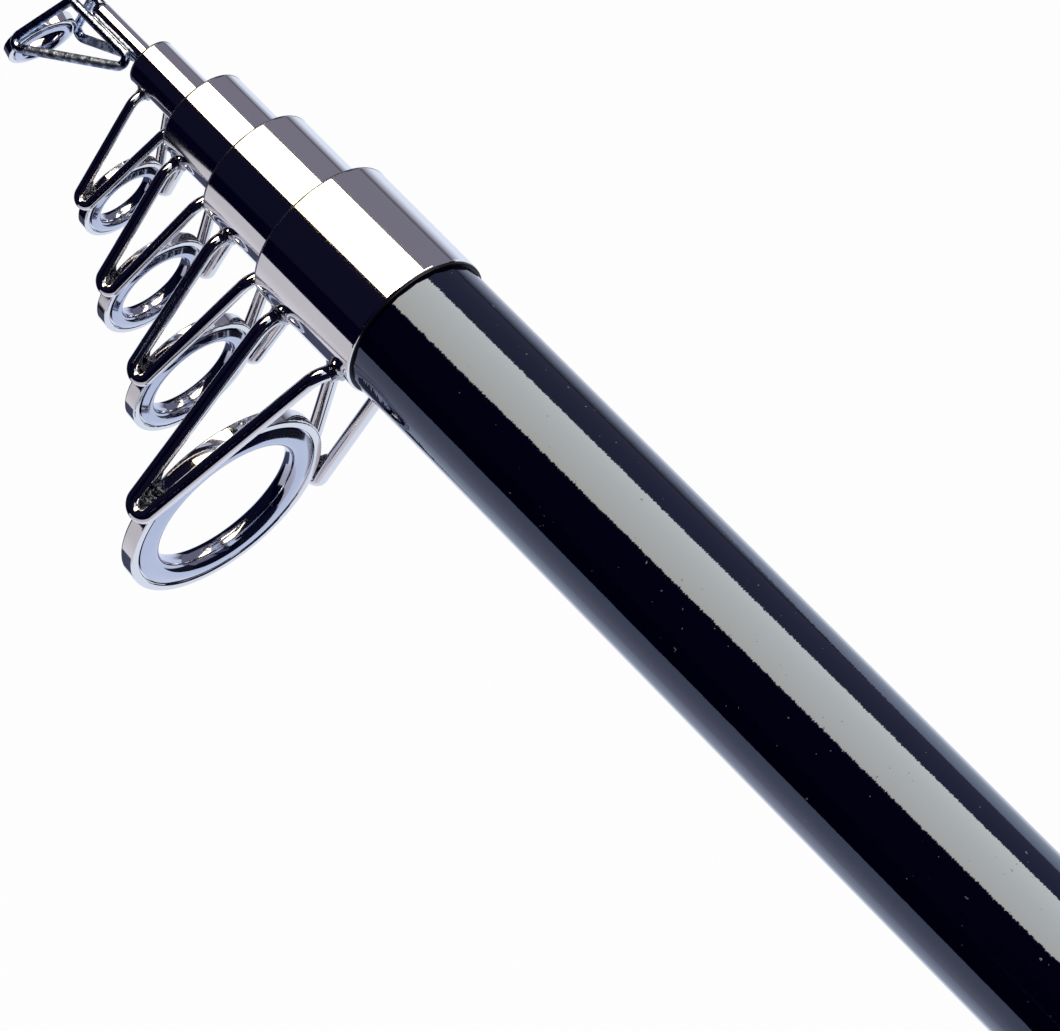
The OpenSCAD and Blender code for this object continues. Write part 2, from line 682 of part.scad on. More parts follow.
// Lock nut with chamfered ends and finger flutes
module lock_nut() {
    color([0.12, 0.12, 0.13])
        difference() {
            turned()
                polygon([[nut_bore_r, nut_x], [nut_r - nut_chamfer, nut_x], [nut_r, nut_x + nut_chamfer],
                    [nut_r, nut_x + nut_len - nut_chamfer],
                    [nut_r - nut_chamfer, nut_x + nut_len], [nut_bore_r, nut_x + nut_len]]);
            for (i = [0:nut_flutes - 1])
                rotate([i * 360 / nut_flutes, 0, 0])
                    translate([0, 0, nut_r + flute_r - flute_depth])
                        rod_x(nut_x - over, nut_len + 2 * over, flute_r, flute_r);
        }
}

// Threaded socket bonded into the blank's rear end: the inner sections come out through it
module cap_socket() {
    color([0.6, 0.6, 0.62])
        difference() {
            rod_x(rear_x, plug_len, socket_r, socket_r);
            rod_x(rear_x - over, plug_len + 2 * over, socket_r - socket_wall, socket_r - socket_wall);
        }
}

// Butt cap: a domed head with a hollow screw plug
module butt_cap() {
    front = rear_x - face_gap;
    color([0.11, 0.11, 0.12])
        turned()
            polygon(concat(
                [[0, front], [plug_r - plug_wall, front], [plug_r - plug_wall, front + plug_len],
                    [plug_r, front + plug_len], [plug_r, front]],
                arc([cap_r - edge_r, front - edge_r], edge_r, 90, 0),
                arc([cap_r - cap_len / 2, front - cap_len / 2], cap_len / 2, 0, -90),
                [[0, front - cap_len]]));
}

// Rubber cushion with a stem in the plug
module cap_cushion() {
    stem_r = plug_r - plug_wall - glue_gap;
    color([0.08, 0.08, 0.08]) {
        rod_x(rest_x - cushion_t, cushion_t, plug_r, plug_r);
        rod_x(rest_x - cushion_t - stem_len, stem_len, stem_r, stem_r);
    }
}

butt_blank();
inner_blank(1, second_base, second_slope, butt_slope);  // second_blank
inner_blank(2, third_base, third_slope, second_slope);  // third_blank
inner_blank(3, fourth_base, fourth_slope, third_slope);  // fourth_blank
tip_blank();
guide_collar(0);  // butt_guide_collar
guide_wire(0, left);  // butt_guide_left_wire
guide_wire(0, right);  // butt_guide_right_wire
guide_ring(0);  // butt_guide_ring
guide_insert(0);  // butt_guide_insert
guide_collar(1);  // second_guide_collar
guide_wire(1, left);  // second_guide_left_wire
guide_wire(1, right);  // second_guide_right_wire
guide_ring(1);  // second_guide_ring
guide_insert(1);  // second_guide_insert
guide_collar(2);  // third_guide_collar
guide_wire(2, left);  // third_guide_left_wire
guide_wire(2, right);  // third_guide_right_wire
guide_ring(2);  // third_guide_ring
guide_insert(2);  // third_guide_insert
guide_collar(3);  // fourth_guide_collar
guide_wire(3, left);  // fourth_guide_left_wire
guide_wire(3, right);  // fourth_guide_right_wire
guide_ring(3);  // fourth_guide_ring
guide_insert(3);  // fourth_guide_insert
tip_top_tube();
tip_top_wire(left);  // tip_top_left_wire
tip_top_wire(right);  // tip_top_right_wire
tip_top_ring();
tip_top_insert();
rear_grip();
fore_grip();
winding_check();
reel_seat();
fixed_hood();
sliding_hood();
lock_nut();
cap_socket();
butt_cap();
cap_cushion();
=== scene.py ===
import json
import math
import bpy
from mathutils import Matrix, Vector, noise


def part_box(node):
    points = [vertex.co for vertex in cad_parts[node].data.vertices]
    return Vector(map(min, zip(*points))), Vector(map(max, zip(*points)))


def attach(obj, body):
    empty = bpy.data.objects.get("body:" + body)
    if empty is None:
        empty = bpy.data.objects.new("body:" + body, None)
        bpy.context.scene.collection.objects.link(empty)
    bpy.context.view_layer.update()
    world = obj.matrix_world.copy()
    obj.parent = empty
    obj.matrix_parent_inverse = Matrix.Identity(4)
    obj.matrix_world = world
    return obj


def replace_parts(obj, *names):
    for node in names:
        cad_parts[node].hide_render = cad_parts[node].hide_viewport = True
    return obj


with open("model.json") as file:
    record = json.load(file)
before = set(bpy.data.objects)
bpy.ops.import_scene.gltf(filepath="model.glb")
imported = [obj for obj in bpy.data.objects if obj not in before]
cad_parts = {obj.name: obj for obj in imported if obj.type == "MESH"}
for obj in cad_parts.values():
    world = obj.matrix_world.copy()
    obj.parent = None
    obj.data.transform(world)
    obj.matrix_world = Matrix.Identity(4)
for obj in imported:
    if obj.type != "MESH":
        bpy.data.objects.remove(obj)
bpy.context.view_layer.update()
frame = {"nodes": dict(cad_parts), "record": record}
nodes = frame["nodes"]
mm = 0.001
print("frame loaded:", len(nodes), "nodes")


# camera: seen from behind, above and the left, rolled so that the rod runs down to the right
cameraSet = {
    "target": (0.44042, -0.01246, -0.01448),
    "distance": 0.864,
    "field": 0.106,                     # width of the view at the target
    "slant": 24.99,                     # degrees the rod runs away from the picture plane
    "turn": 34.35,                      # degrees the guides are turned from straight down
    "roll": 45.36,                      # degrees the rod is turned in the picture
    "clip": (0.01, 50),
}


def cameraAxes(spec):
    slant, turn, roll = (math.radians(spec[k]) for k in ("slant", "turn", "roll"))
    down = Vector((0, math.sin(turn), -math.cos(turn)))
    near = Vector((0, math.cos(turn), math.sin(turn)))
    along = Vector((-math.cos(slant), 0, 0)) - near * math.sin(slant)
    right = along * math.cos(roll) - down * math.sin(roll)
    up = -(along * math.sin(roll) + down * math.cos(roll))
    return right, up, right.cross(up)


def addCamera(spec):
    right, up, back = cameraAxes(spec)
    place = Vector(spec["target"]) + back * spec["distance"]
    turned = Matrix((right, up, back)).transposed().to_4x4()
    bpy.ops.object.camera_add()
    camera = bpy.context.object
    camera.name = "photoCamera"
    camera.matrix_world = Matrix.Translation(place) @ turned
    camera.data.sensor_fit = "HORIZONTAL"
    camera.data.lens = camera.data.sensor_width * spec["distance"] / spec["field"]
    camera.data.clip_start, camera.data.clip_end = spec["clip"]
    bpy.context.scene.camera = camera


addCamera(cameraSet)
print("camera set")


class Val:                               # a shader socket that can be used in sums
    def __init__(self, tree, socket):
        self.tree = tree
        self.socket = socket

    def node(self, kind, settings=None, inputs=None, out=0):
        made = self.tree.nodes.new(kind)
        for name, value in (settings or {}).items():
            if name == "stops":
                for element, at in zip(made.color_ramp.elements, value):
                    element.position = at
            else:
                setattr(made, name, value)
        for key, value in (inputs or {}).items():
            if isinstance(value, Val):
                self.tree.links.new(value.socket, made.inputs[key])
            else:
                made.inputs[key].default_value = value
        return Val(self.tree, made.outputs[out])

    def sum(self, operation, other):
        return self.node("ShaderNodeMath", {"operation": operation}, {0: self, 1: other})

    def __add__(self, other):
        return self.sum("ADD", other)

    def __mul__(self, other):
        return self.sum("MULTIPLY", other)

    def __gt__(self, other):
        return self.sum("GREATER_THAN", other)

    def between(self, low, high):        # a value from 0 to 1 as one from low to high
        return self * (high - low) + low

    def axis(self, number):
        return self.node("ShaderNodeSeparateXYZ", None, {0: self}, number)

    def stretched(self, scale):
        return self.node("ShaderNodeMapping", None, {"Vector": self, "Scale": scale})

    def noise(self, scale, detail=2, rough=0.5):
        return self.node("ShaderNodeTexNoise", None,
                         {"Vector": self, "Scale": scale, "Detail": detail, "Roughness": rough})

    def ramp(self, dark, light):         # black up to the first value, white from the second on
        return self.node("ShaderNodeValToRGB", {"stops": (dark, light)}, {0: self})

    def tint(self, dark, light):         # from one colour to another by this value
        ends = [shade if isinstance(shade, Val) else (*shade, 1) for shade in (dark, light)]
        return self.node("ShaderNodeMix", {"data_type": "RGBA"}, {0: self, 6: ends[0], 7: ends[1]}, 2)

    def bump(self, strength, depth):
        return self.node("ShaderNodeBump", None, {"Height": self, "Strength": strength, "Distance": depth})


def newFinish(name, fixed):
    made = bpy.data.materials.new(name)
    made.use_nodes = True
    tree = made.node_tree
    shader = tree.nodes["Principled BSDF"]
    for socket, value in fixed.items():
        shader.inputs[socket].default_value = value
    place = Val(tree, tree.nodes.new("ShaderNodeTexCoord").outputs["Object"])
    return made, shader, place


def feed(shader, **links):
    for socket, value in links.items():
        value.tree.links.new(value.socket, shader.inputs[socket.replace("_", " ")])


def lacquerFinish():
    look = {"dark": (0.0002, 0.0001, 0.0045), "light": (0.0006, 0.0004, 0.0075),
            "teeth": 0.2, "swell": 0.35, "depth": 0.00006, "speck": (0.14, 0.13, 0.15), "speckOver": 0.8,
            "speckShare": 0.8, "speckHigh": 0.2, "speckRough": 0.4}
    made, shader, place = newFinish("blankLacquer", {
        "IOR": 2.05, "Specular IOR Level": 0.5, "Specular Tint": (0.48, 0.62, 1.0, 1)})
    cloudy = place.stretched((40, 120, 120)).noise(1, 3)
    specks = place.noise(2300, 1, 0.3) > look["speckOver"]
    teeth = place.stretched((800, 200, 200)).noise(1, 3, 0.65)       # fine windings under the lacquer
    swell = place.stretched((150, 90, 90)).noise(1, 2, 0.5)
    height = teeth * look["teeth"] + swell * look["swell"] + specks * look["speckHigh"]
    ground = cloudy.tint(look["dark"], look["light"])
    feed(shader, Base_Color=(specks * look["speckShare"]).tint(ground, look["speck"]),
         Roughness=cloudy.between(0.025, 0.055) + specks * look["speckRough"],
         Normal=height.bump(1, look["depth"]))
    return made


def mirrorFinish(name, tone, smooth, lines):
    look = {"darker": 0.95, "paler": 1.05, "smear": 0.035, "scratch": 0.02}
    made, shader, place = newFinish(name, {"Metallic": 1.0})
    smear = place.stretched((90, 260, 260)).noise(1, 3)
    scratch = place.stretched(lines).noise(1, 2)
    darker, paler = (tuple(c * look[k] for c in tone) for k in ("darker", "paler"))
    feed(shader, Base_Color=smear.tint(darker, paler),
         Roughness=smear * look["smear"] + scratch * look["scratch"] + smooth,
         Normal=scratch.bump(0.05, 0.00001))
    return made


def brazeFinish(name, dark, light, lumpy):
    made, shader, place = newFinish(name, {"Metallic": 1.0})
    lumps = place.noise(2900, 3, 0.6)
    stain = place.noise(2400, 2).ramp(0.42, 0.62)
    feed(shader, Base_Color=stain.tint(dark, light),
         Roughness=lumps.between(0.04, 0.19), Normal=lumps.bump(1, lumpy))
    return made


def tipFinish():                         # plated wire, roughened by solder on its long lower leg
    look = {"dark": (0.13, 0.165, 0.26), "light": (0.56, 0.66, 0.92), "legX": 0.5072, "legZ": -0.0012,
            "legLean": 0.2, "legRough": 0.3, "legLumps": 2}
    made, shader, place = newFinish("tipChrome", {"Metallic": 1.0})
    lumps = place.noise(2900, 3, 0.6)
    stain = place.noise(1500, 2).ramp(0.42, 0.62)
    x, z = place.axis(0), place.axis(2)
    leg = ((x + z * look["legLean"]) * -1 > -look["legX"]) * (z * -1 > -look["legZ"])
    feed(shader, Base_Color=stain.tint(look["dark"], look["light"]),
         Roughness=lumps.between(0.04, 0.19) + leg * look["legRough"],
         Normal=(lumps + lumps * leg * look["legLumps"]).bump(1, 0.00004))
    return made


coolSheen = (0.6, 0.72, 1.0, 1)          # keeps the warm light box from browning the dark pieces


# painted shade: the near-black colour of the bead behind the butt collar stands for the dark line where
# collar and blank meet
def beadShadeFinish():
    made, shader, place = newFinish("paintedShadeBlack", {"Specular IOR Level": 0.2, "Specular Tint": coolSheen})
    ripple = place.stretched((300, 300, 300)).noise(1, 2)
    feed(shader, Base_Color=ripple.tint((0.0005, 0.0005, 0.002), (0.002, 0.002, 0.005)),
         Roughness=ripple.between(0.25, 0.45), Normal=ripple.bump(0.2, 0.00005))
    return made


def foamFinish():
    made, shader, place = newFinish("gripFoam", {
        "Specular IOR Level": 0.25, "Specular Tint": coolSheen, "Sheen Weight": 0.15})
    cells = place.node("ShaderNodeTexVoronoi", {"feature": "F1"}, {"Vector": place, "Scale": 1700})
    patch = place.noise(60, 3)
    grain = place.noise(900, 4, 0.65)
    feed(shader, Base_Color=(patch * 0.5 + grain * 0.5).tint((0.012, 0.012, 0.013), (0.034, 0.034, 0.036)),
         Roughness=grain.between(0.7, 0.9), Normal=(cells * 0.7 + grain * 0.6).bump(0.5, 0.00012))
    return made


def nylonFinish(name, dark, light):
    made, shader, place = newFinish(name, {"Specular IOR Level": 0.4, "Specular Tint": coolSheen})
    spark = place.noise(1500, 3, 0.6)
    patch = place.noise(70, 2)
    feed(shader, Base_Color=patch.tint(dark, light), Roughness=spark.between(0.32, 0.5),
         Normal=spark.bump(0.25, 0.00004))
    return made


def steelFinish(name, tone, lines):
    made, shader, place = newFinish(name, {"Metallic": 1.0})
    brushed = place.stretched(lines).noise(1, 4, 0.6)
    grooves = tuple(c * 0.86 for c in tone)
    feed(shader, Base_Color=brushed.tint(grooves, tone), Roughness=brushed.between(0.2, 0.36),
         Normal=brushed.bump(0.12, 0.00002))
    return made


def rubberFinish(name):
    made, shader, place = newFinish(name, {"Specular IOR Level": 0.35, "Specular Tint": coolSheen})
    grain = place.noise(1100, 3, 0.6)
    feed(shader, Base_Color=grain.tint((0.012, 0.012, 0.012), (0.026, 0.026, 0.027)),
         Roughness=grain.between(0.55, 0.75), Normal=grain.bump(0.3, 0.00005))
    return made


finishes = {
    "lacquered_blank": lacquerFinish(),
    "chrome": mirrorFinish("collarChrome", (0.84, 0.83, 0.85), 0.02, (60, 4000, 4000)),
    "guide_wire": mirrorFinish("wireChrome", (0.78, 0.77, 0.80), 0.03, (1500, 1500, 1500)),
    "ring_band": mirrorFinish("bandChrome", (0.80, 0.79, 0.81), 0.03, (5000, 300, 300)),
    "ring_insert": mirrorFinish("insertPolish", (0.54, 0.57, 0.70), 0.06, (3000, 300, 300)),
    "foam_grip": foamFinish(),
    "trim_ring": steelFinish("trimAluminium", (0.78, 0.78, 0.80), (9000, 60, 60)),
    "seat_barrel": nylonFinish("seatNylon", (0.010, 0.010, 0.011), (0.022, 0.022, 0.024)),
    "hood_metal": steelFinish("hoodSteel", (0.62, 0.62, 0.64), (9000, 90, 90)),
    "lock_nut": nylonFinish("nutNylon", (0.012, 0.012, 0.013), (0.026, 0.026, 0.028)),
    "thread_socket": steelFinish("socketAluminium", (0.7, 0.7, 0.72), (9000, 60, 60)),
    "butt_cap": nylonFinish("capNylon", (0.011, 0.011, 0.012), (0.024, 0.024, 0.026)),
    "cushion": rubberFinish("cushionRubber"),
}
trims = {                                # finishes of pieces that the slots' own ones don't suit
    "braze": brazeFinish("brazeMetal", (0.012, 0.014, 0.03), (0.26, 0.30, 0.42), 0.0005),
    "bead": brazeFinish("beadMetal", (0.42, 0.43, 0.50), (0.78, 0.79, 0.84), 0.00008),
    "tipChrome": tipFinish(),
    # painted shade: the near-black bead behind the butt collar
    "seal": beadShadeFinish(),
    "satin": steelFinish("lipSatin", (0.37, 0.42, 0.55), (300, 300, 300)),
}
for part in frame["record"]["subparts"]:
    slots = nodes[part["node"]].data.materials
    slots.clear()
    slots.append(finishes[part["material_slot"]])
print("finishes made:", len(finishes) + len(trims))


def addPiece(made, name, body, slotName, finish=None):
    made.name = name
    made.data.name = name
    made.data.materials.clear()
    made.data.materials.append(finish or finishes[slotName])
    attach(made, body)
    return made


# what the mesh helpers share: steps, angles in degrees, lengths in mm
meshForm = {"bevel": 7, "tubeAngle": 40, "softAngle": 32, "merge": 0.002, "screwSteps": 64, "ridgeSunk": 0.05}


def startLoop(points, closed=True):      # a circle primitive drawn out to a loop or chain of points in mm
    bpy.ops.object.select_all(action="DESELECT")
    bpy.ops.mesh.primitive_circle_add(vertices=len(points), radius=mm, fill_type="NOTHING")
    made = bpy.context.object
    for vertex, point in zip(made.data.vertices, points):
        vertex.co = Vector(point) * mm
    if not closed:
        bpy.ops.object.mode_set(mode="EDIT")
        bpy.ops.mesh.select_mode(type="EDGE")
        bpy.ops.mesh.select_all(action="DESELECT")
        bpy.ops.object.mode_set(mode="OBJECT")
        for edge in made.data.edges:
            edge.select = set(edge.vertices) == {0, len(points) - 1}
        bpy.ops.object.mode_set(mode="EDIT")
        bpy.ops.mesh.delete(type="EDGE")
        bpy.ops.object.mode_set(mode="OBJECT")
    return made


def tube(points, closed, radius):
    startLoop(points, closed)
    bpy.ops.object.convert(target="CURVE")
    made = bpy.context.object
    made.data.bevel_depth = radius * mm
    made.data.bevel_resolution = meshForm["bevel"]
    made.data.use_fill_caps = True
    bpy.ops.object.convert(target="MESH")
    bpy.ops.object.shade_smooth_by_angle(angle=math.radians(meshForm["tubeAngle"]))
    return bpy.context.object


def turnedPiece(profile, steps):         # a closed profile of (x, radius) in mm, spun round the rod's axis
    made = startLoop([(x, 0, r) for x, r in profile])
    bpy.ops.object.mode_set(mode="EDIT")
    bpy.ops.mesh.select_all(action="SELECT")
    bpy.ops.mesh.spin(steps=steps, angle=2 * math.pi, center=(0, 0, 0), axis=(1, 0, 0))
    closeUp()
    return made


def closeUp():                           # merge the seam and turn the faces outwards
    bpy.ops.object.mode_set(mode="EDIT")
    bpy.ops.mesh.select_all(action="SELECT")
    bpy.ops.mesh.remove_doubles(threshold=meshForm["merge"] * mm)
    bpy.ops.mesh.normals_make_consistent(inside=False)
    bpy.ops.object.mode_set(mode="OBJECT")
    bpy.ops.object.shade_smooth_by_angle(angle=math.radians(meshForm["softAngle"]))


def arcPoints(x, r, radius, first, last, steps=6):
    angles = [math.radians(first + (last - first) * k / steps) for k in range(steps + 1)]
    return [(x + radius * math.cos(a), r + radius * math.sin(a)) for a in angles]


# guide wires: two legs from the collar, joined in a low bend beside the ring
wireForm = {"footAngle": 35, "leave": 27, "sunk": 0.1, "foot": 1.3, "knee": 1.5, "low": 0.8, "gap": 0.08,
            "kneeSteps": 14, "lowSteps": 24}
guideWires = {
    "butt": {"body": "butt", "carrier": 8.5, "wire": 0.8, "front": 466.7, "rear": 458.0,
             "ring": 11.95, "ringZ": -31.5, "bendX": 465.5, "lowZ": -30.7, "web": 6.0},
    "second": {"body": "second_section", "carrier": 6.75, "wire": 0.7, "front": 477.2, "rear": 471.0,
               "ring": 7.55, "ringZ": -23.3, "bendX": 476.05, "lowZ": -22.5, "web": 3.4},
    "third": {"body": "third_section", "carrier": 5.1, "wire": 0.65, "front": 487.0, "rear": 481.3,
              "ring": 6.4, "ringZ": -18.9, "bendX": 485.05, "lowZ": -18.5, "web": 3.0},
    "fourth": {"body": "fourth_section", "carrier": 2.7, "wire": 0.55, "front": 495.4, "rear": 489.8,
               "ring": 5.05, "ringZ": -14.0, "bendX": 493.1, "lowZ": -14.1, "web": 2.6},
}
tipWire = {"body": "tip_section", "carrier": 1.1, "wire": 0.5, "front": 508.3, "rear": 496.8,
           "ring": 3.9, "ringZ": -7.5, "bendX": 509.5, "lowZ": -7.1, "angle": 75, "cornerSteps": 12}


def heading(angle):
    return Vector((math.cos(angle), math.sin(angle)))


def tangentAngle(start, centre, radius, turn):
    away = centre - start
    return math.atan2(away.y, away.x) + turn * math.asin(radius / away.length)


def meetPoint(p, a, q, b):
    gap = q - p
    return p + heading(a) * (gap.x * math.sin(b) - gap.y * math.cos(b)) / math.sin(b - a)


class GuideSheet:                        # the bent sheet that a guide's wire is laid out on
    def __init__(self, spec):
        thick = 2 * spec["wire"]
        self.footLen = thick * wireForm["foot"]
        self.low = thick * wireForm["low"]
        self.kneeBend = thick * wireForm["knee"]
        self.footDir = math.radians(wireForm["footAngle"] - 90)
        self.leave = self.footDir + math.radians(wireForm["leave"])
        foot = heading(self.footDir) * (spec["carrier"] + wireForm["gap"])
        self.knee = foot + heading(self.leave) * self.footLen
        self.lean = tangentAngle(self.knee, Vector((0, spec["ringZ"])),
                                 spec["ring"] + spec["wire"] + wireForm["gap"], 1)
        self.turn = self.lean - self.leave
        self.reach = self.kneeBend * math.tan(abs(self.turn) / 2)
        self.hub = Vector((spec["bendX"], (spec["lowZ"] - self.knee.y) / math.sin(self.lean) - self.low))
        self.front = Vector((spec["front"], -self.footLen))
        self.rear = Vector((spec["rear"], -self.footLen))
        self.frontRun = tangentAngle(self.front, self.hub, self.low, -1)
        self.rearRun = tangentAngle(self.rear, self.hub, self.low, 1)

    def lift(self, x, t, out=0.0):       # the place of a point on the sheet, or standing out from it
        reach = self.reach
        now = self.leave + self.turn * min(1, max(0, (t + reach) / (2 * reach)))
        if t <= -reach:
            spot = self.knee + heading(self.leave) * t
        elif t >= reach:
            spot = self.knee + heading(self.lean) * t
        else:
            side = math.copysign(self.kneeBend, self.turn)
            spot = self.knee - heading(self.leave) * reach + heading(self.leave + math.pi / 2) * side \
                - heading(now + math.pi / 2) * side
        spot = spot + heading(now + math.pi / 2) * out
        return Vector((x, spot.x, spot.y))

    def legX(self, foot, run, t):
        return foot.x + (t - foot.y) / math.tan(run)

    def path(self):
        steps, lowSteps = wireForm["kneeSteps"], wireForm["lowSteps"]
        stops = [-self.footLen - wireForm["sunk"]]
        stops += [self.reach * (2 * k / steps - 1) for k in range(steps + 1)]
        flat = [(self.legX(self.front, self.frontRun, t), t) for t in stops]
        first, last = self.frontRun - math.pi / 2, self.rearRun + math.pi / 2
        for k in range(lowSteps + 1):
            around = first + (last - first) * k / lowSteps
            flat.append(tuple(self.hub + heading(around) * self.low))
        flat += [(self.legX(self.rear, self.rearRun, t), t) for t in reversed(stops)]
        return [self.lift(*spot) for spot in flat]


def flip(points, side):
    return [Vector((p.x, side * p.y, p.z)) for p in points]


webForm = {"across": 18, "up": 30, "middle": 0.45, "below": 0.4, "narrow": 0.04, "inset": 0.25,
           "hollow": 0.35, "lumps": ((1.6, 0.24), (3.6, 0.2)), "thick": 0.7}


def addWeb(name, spec, sheet, side):     # the braze that fills the low bend and climbs along both legs
    bpy.ops.object.select_all(action="DESELECT")
    bpy.ops.mesh.primitive_grid_add(x_subdivisions=webForm["across"], y_subdivisions=webForm["up"], size=1)
    made = bpy.context.object
    wire = spec["wire"]
    for vertex in made.data.vertices:
        share, height = vertex.co.x + 0.5, vertex.co.y + 0.5
        crest = spec["web"] * (webForm["middle"] + (1 - webForm["middle"]) * (2 * share - 1) ** 2)
        t = sheet.hub.y + webForm["below"] * sheet.low - height * crest
        ends = [sheet.legX(foot, run, t) for foot, run in
                ((sheet.front, sheet.frontRun), (sheet.rear, sheet.rearRun))]
        spread = math.sqrt(max(webForm["narrow"], 1 - max(0, (t - sheet.hub.y) / sheet.low) ** 2))
        middle = (ends[0] + ends[1]) / 2
        x = middle + (ends[0] - middle) * (1 - 2 * share) * spread
        lump = sum(noise.noise(Vector((x, t, side)) * scale) * high for scale, high in webForm["lumps"])
        out = lump - wire * (webForm["inset"] + webForm["hollow"] * math.sin(math.pi * share))
        vertex.co = flip([sheet.lift(x, t, out)], side)[0] * mm
    thick = made.modifiers.new("thick", "SOLIDIFY")
    thick.thickness = webForm["thick"] * wire * mm
    thick.offset = 0
    smooth = made.modifiers.new("smooth", "SUBSURF")
    smooth.levels = smooth.render_levels = 1
    for modifier in ("thick", "smooth"):
        bpy.ops.object.modifier_apply(modifier=modifier)
    closeUp()
    bpy.ops.object.shade_smooth()
    addPiece(made, name, spec["body"], "guide_wire", trims["braze"])


beadForm = {"brim": ((-0.35, 1.75), (0.1, 1.7)),         # height in mm, radius in wire radii
            "slope": ((0.35, 1.32), (0.8, 1.12), (1.3, 1.01)),           # both in wire radii
            "bore": 0.7, "spin": 28, "grain": 1400, "lump": 0.09}


def addBead(name, spec, sheet, foot, side):              # the fillet of braze round a foot
    wire = spec["wire"]
    bore = beadForm["bore"] * wire
    brim = [(x, r * wire) for x, r in beadForm["brim"]]
    slope = [(x * wire, r * wire) for x, r in beadForm["slope"]]
    made = turnedPiece(brim + slope + [(slope[-1][0], bore), (brim[0][0], bore)], beadForm["spin"])
    for vertex in made.data.vertices:
        lump = noise.noise(vertex.co * beadForm["grain"] + Vector((foot.x, side, 0)))
        vertex.co = vertex.co + vertex.normal * lump * beadForm["lump"] * wire * mm
    root, out = (Vector((0, side * math.cos(a), math.sin(a))) for a in
                 (sheet.footDir, (sheet.footDir + sheet.leave) / 2))
    along = Vector((1, 0, 0))
    spot = along * foot.x + root * spec["carrier"]
    turned = Matrix((out, along, out.cross(along))).transposed().to_4x4()
    made.matrix_world = Matrix.Translation(spot * mm) @ turned
    bpy.ops.object.transform_apply(location=True, rotation=True, scale=True)
    bpy.ops.object.shade_smooth()
    addPiece(made, name, spec["body"], "guide_wire", trims["bead"])


def tipPath(spec):                       # a closed loop that lies along the tip's tube
    bend = 2 * spec["wire"] * wireForm["low"]
    foot = heading(math.radians(spec["angle"] - 90)) * (spec["carrier"] + spec["wire"] + wireForm["gap"])
    lean = tangentAngle(foot, Vector((0, spec["ringZ"])), spec["ring"] + spec["wire"] + wireForm["gap"], 1)
    hub = Vector((spec["bendX"], (spec["lowZ"] - foot.y) / math.sin(lean) - bend))
    front, rear = Vector((spec["front"], 0)), Vector((spec["rear"], 0))
    apex = meetPoint(front, tangentAngle(front, hub, bend, -1), rear, tangentAngle(rear, hub, bend, 1))
    corners = [front, apex, rear]
    flat = []
    for number, corner in enumerate(corners):
        u = (corners[number - 1] - corner).normalized()
        v = (corners[(number + 1) % 3] - corner).normalized()
        half = u.angle(v) / 2
        centre = corner + (u + v).normalized() * bend / math.sin(half)
        start = corner + u * bend / math.tan(half) - centre
        first, turn = math.atan2(start.y, start.x), math.pi - 2 * half
        flat += [centre + heading(first + turn * k / spec["cornerSteps"]) * bend
                 for k in range(spec["cornerSteps"] + 1)]
    return [Vector((p.x, foot.x + p.y * math.cos(lean), foot.y + p.y * math.sin(lean))) for p in flat]


for key, spec in guideWires.items():
    sheet = GuideSheet(spec)
    for sideName, side in (("left", 1), ("right", -1)):
        tag = key + sideName.title()
        made = tube(flip(sheet.path(), side), False, spec["wire"])
        wire = addPiece(made, tag + "Wire", spec["body"], "guide_wire")
        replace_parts(wire, key + "_guide_" + sideName + "_wire")
        addWeb(tag + "Braze", spec, sheet, side)
        addBead(tag + "FrontBead", spec, sheet, sheet.front, side)
        addBead(tag + "RearBead", spec, sheet, sheet.rear, side)
for sideName, side in (("left", 1), ("right", -1)):
    made = tube(flip(tipPath(tipWire), side), True, tipWire["wire"])
    name = "tip" + sideName.title() + "Wire"
    wire = addPiece(made, name, tipWire["body"], "guide_wire", trims["tipChrome"])
    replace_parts(wire, "tip_top_" + sideName + "_wire")
print("guide wires bent and brazed")


# ring inserts: polished hoops with crowned faces and a rounded bore, set in the bands
insertForm = {"crown": 0.42, "lip": 0.42, "square": 0.84, "rise": 0.37, "bulge": 1.15,
              "steps": 14, "spin": 128}
ringInserts = {
    "butt_guide_insert": {"body": "butt", "bore": 8.35, "half": 1.3, "lean": 4},
    "second_guide_insert": {"body": "second_section", "bore": 4.95, "half": 1.15, "lean": 4},
    "third_guide_insert": {"body": "third_section", "bore": 4.1, "half": 1.05, "lean": 4},
    "fourth_guide_insert": {"body": "fourth_section", "bore": 3.1, "half": 0.95, "lean": 4},
    "tip_top_insert": {"body": "tip_section", "bore": 2.3, "half": 0.95, "lean": 18},
}


def addInsert(node, spec):
    low, high = (Vector(corner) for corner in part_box(node))
    outer, bore, half = high.y / mm, spec["bore"], spec["half"]
    crown, lip = ((outer - bore) * insertForm[share] for share in ("crown", "lip"))
    proud = crown * insertForm["rise"]
    shares = [k / insertForm["steps"] for k in range(insertForm["steps"] + 1)]
    rear = [(half - proud * (1 - k) ** insertForm["bulge"], outer - crown * k) for k in shares]
    for k in shares:
        across, down = (turned(math.pi / 2 * k) ** insertForm["square"] for turned in (math.cos, math.sin))
        rear.append((half * across, bore + lip - lip * down))
    profile = rear + [(-x, r) for x, r in reversed(rear[:-1])]
    made = turnedPiece(profile, insertForm["spin"])
    leant = Matrix.Rotation(-math.radians(spec["lean"]), 4, "Y")
    made.matrix_world = Matrix.Translation((low + high) / 2) @ leant
    bpy.ops.object.transform_apply(location=True, rotation=True, scale=True)
    words = node.split("_")
    name = words[0] + "".join(word.title() for word in words[1:]) + "Hoop"
    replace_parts(addPiece(made, name, spec["body"], "ring_insert"), node)


for node, spec in ringInserts.items():
    addInsert(node, spec)
print("ring inserts turned")


